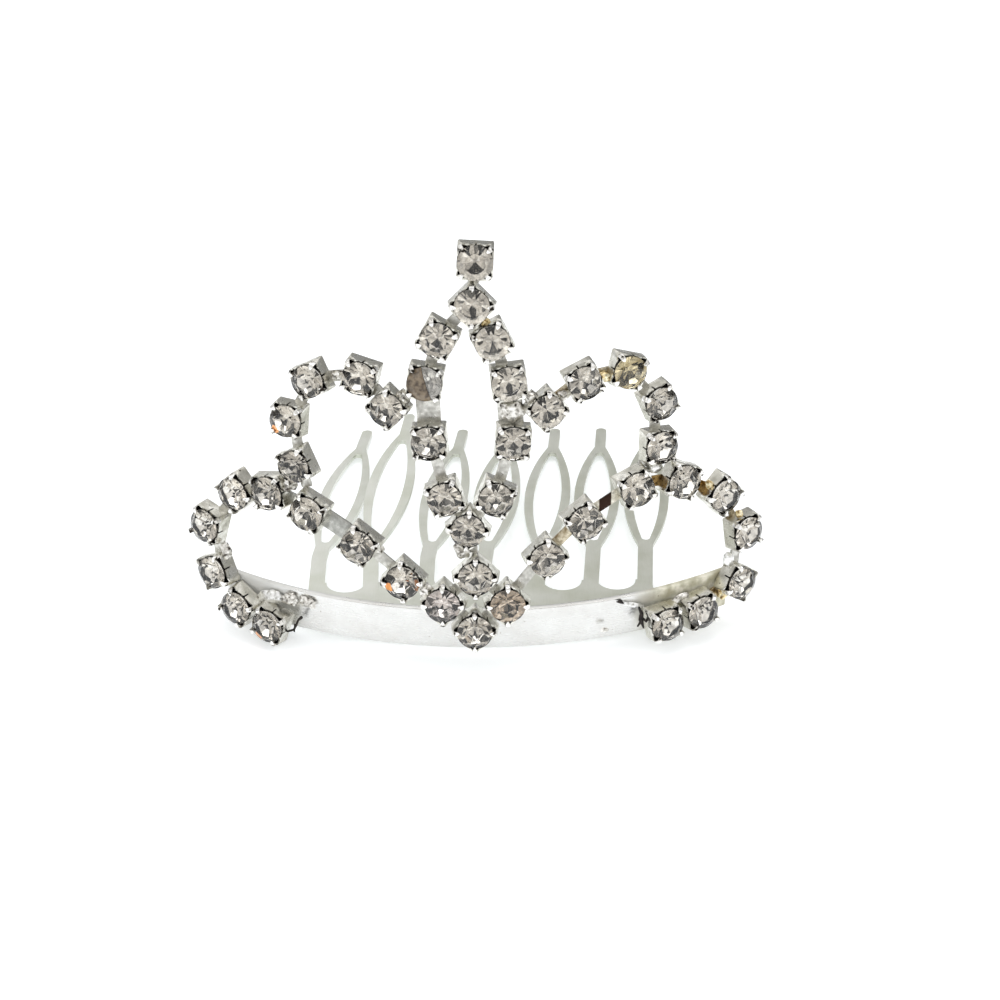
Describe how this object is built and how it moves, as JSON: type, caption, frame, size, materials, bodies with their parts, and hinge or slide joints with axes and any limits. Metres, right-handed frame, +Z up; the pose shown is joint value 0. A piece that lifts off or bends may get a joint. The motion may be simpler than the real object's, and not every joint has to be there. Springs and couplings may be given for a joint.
{
  "type": "diadem",
  "caption": "Small rhinestone diadem on a hair comb: a curved band, an openwork of stone-set cups in scrolls, arches and a pointed oval, and a toothed sheet-metal comb behind.",
  "frame": {"origin": "bottom centre of the bounding box, on the table between the band and the teeth's tips", "axes": "+X along the band to the right as the picture shows it, the wearer's left, +Y from the stone-set front to the comb's tips, +Z up to the top drop"},
  "size_m": [0.0583, 0.048, 0.0427],
  "materials": {
    "plated_metal": "polished",
    "band_metal": "polished",
    "comb_metal": "satin",
    "rhinestone": "polished"
  },
  "bodies": {
    "root": {"band": "band_metal", "comb": "comb_metal", "marquise": "plated_metal", "cluster": "plated_metal", "arch_left": "plated_metal", "arch_right": "plated_metal", "scroll_left": "plated_metal", "scroll_right": "plated_metal", "stone_marquise_1": "rhinestone", "stone_marquise_2": "rhinestone", "stone_marquise_3": "rhinestone", "stone_marquise_4": "rhinestone", "stone_marquise_5": "rhinestone", "stone_marquise_6": "rhinestone", "stone_marquise_7": "rhinestone", "stone_marquise_8": "rhinestone", "stone_marquise_9": "rhinestone", "stone_marquise_10": "rhinestone", "stone_marquise_11": "rhinestone", "stone_cluster_1": "rhinestone", "stone_cluster_2": "rhinestone", "stone_cluster_3": "rhinestone", "stone_cluster_4": "rhinestone", "stone_arch_left_1": "rhinestone", "stone_arch_left_2": "rhinestone", "stone_arch_left_3": "rhinestone", "stone_arch_left_4": "rhinestone", "stone_arch_left_5": "rhinestone", "stone_arch_right_1": "rhinestone", "stone_arch_right_2": "rhinestone", "stone_arch_right_3": "rhinestone", "stone_arch_right_4": "rhinestone", "stone_arch_right_5": "rhinestone", "stone_scroll_left_1": "rhinestone", "stone_scroll_left_2": "rhinestone", "stone_scroll_left_3": "rhinestone", "stone_scroll_left_4": "rhinestone", "stone_scroll_left_5": "rhinestone", "stone_scroll_left_6": "rhinestone", "stone_scroll_left_7": "rhinestone", "stone_scroll_left_8": "rhinestone", "stone_scroll_left_9": "rhinestone", "stone_scroll_right_1": "rhinestone", "stone_scroll_right_2": "rhinestone", "stone_scroll_right_3": "rhinestone", "stone_scroll_right_4": "rhinestone", "stone_scroll_right_5": "rhinestone", "stone_scroll_right_6": "rhinestone", "stone_scroll_right_7": "rhinestone", "stone_scroll_right_8": "rhinestone", "stone_scroll_right_9": "rhinestone"}
  },
  "joints": []
}
